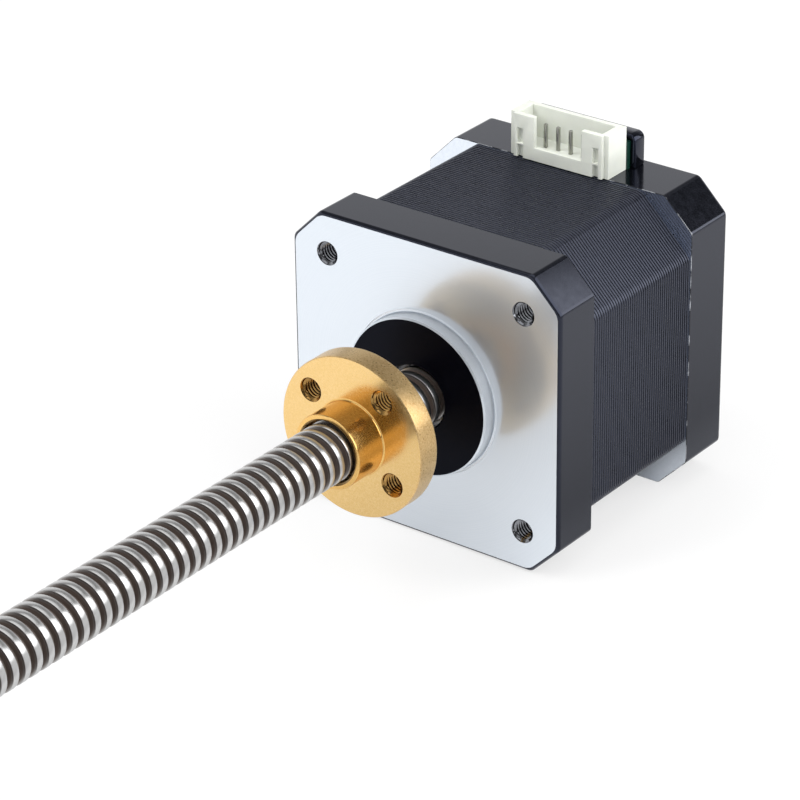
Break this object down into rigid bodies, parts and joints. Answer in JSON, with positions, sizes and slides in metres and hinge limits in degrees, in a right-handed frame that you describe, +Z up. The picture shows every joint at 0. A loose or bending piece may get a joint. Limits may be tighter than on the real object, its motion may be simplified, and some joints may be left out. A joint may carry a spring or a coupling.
{
  "type": "linear stepper motor",
  "caption": "Square hybrid stepper motor with a threaded lead screw for its shaft, a flanged brass nut on the screw and a wire connector on top.",
  "frame": {"origin": "centre of the front mounting face, on the shaft's axis", "axes": "+Y along the shaft from the mounting face into the motor, so that the screw points to -Y; +Z up, towards the connector; +X to the right seen from the front"},
  "size_m": [0.0424, 0.1385, 0.0485],
  "materials": {
    "cap_metal": "die cast, gloss black enamel, with the mounting face machined bare",
    "laminations": "stacked steel sheets, black enamel",
    "insulator_plastic": "moulded",
    "winding": "enamelled copper wire",
    "steel_screws": "zinc plated",
    "bearing_steel": "ground",
    "spring_steel": "rolled",
    "board": "solder resist",
    "connector_plastic": "moulded, ivory",
    "pin_metal": "tinned",
    "cover_plastic": "moulded, gloss black",
    "screw_steel": "rolled thread, satin",
    "rotor_steel": "ground",
    "magnet": "nickel plated",
    "spacer_brass": "turned",
    "nut_brass": "turned, satin"
  },
  "bodies": {
    "motor": {"front_cap": "cap_metal", "rear_cap": "cap_metal", "stator_core": "laminations", "front_insulator": "insulator_plastic", "rear_insulator": "insulator_plastic", "coils": "winding", "assembly_screws": "steel_screws", "front_bearing_outer_ring": "bearing_steel", "rear_bearing_outer_ring": "bearing_steel", "wave_washer": "spring_steel", "terminal_board": "board", "header_housing": "connector_plastic", "header_pins": "pin_metal", "board_cover": "cover_plastic"},
    "rotor": {"lead_screw": "screw_steel", "front_rotor_cup": "rotor_steel", "rear_rotor_cup": "rotor_steel", "rotor_magnet": "magnet", "front_spacer": "spacer_brass", "rear_spacer": "spacer_brass", "front_bearing_inner_ring": "bearing_steel", "rear_bearing_inner_ring": "bearing_steel"},
    "nut": {"lead_nut": "nut_brass"}
  },
  "joints": [
    {"name": "screw_spin", "type": "hinge", "parent": "motor", "child": "rotor", "pos_m": [0, 0, 0], "axis": [0, 1, 0], "range_deg": [-1440, 14040]},
    {"name": "nut_slide", "type": "slide", "parent": "motor", "child": "nut", "axis": [0, -1, 0], "range_m": [-0.008, 0.078]}
  ],
  "couplings": [
    {"joint": "nut_slide", "follows": "screw_spin", "m_per_rad": 0.00031831}
  ]
}
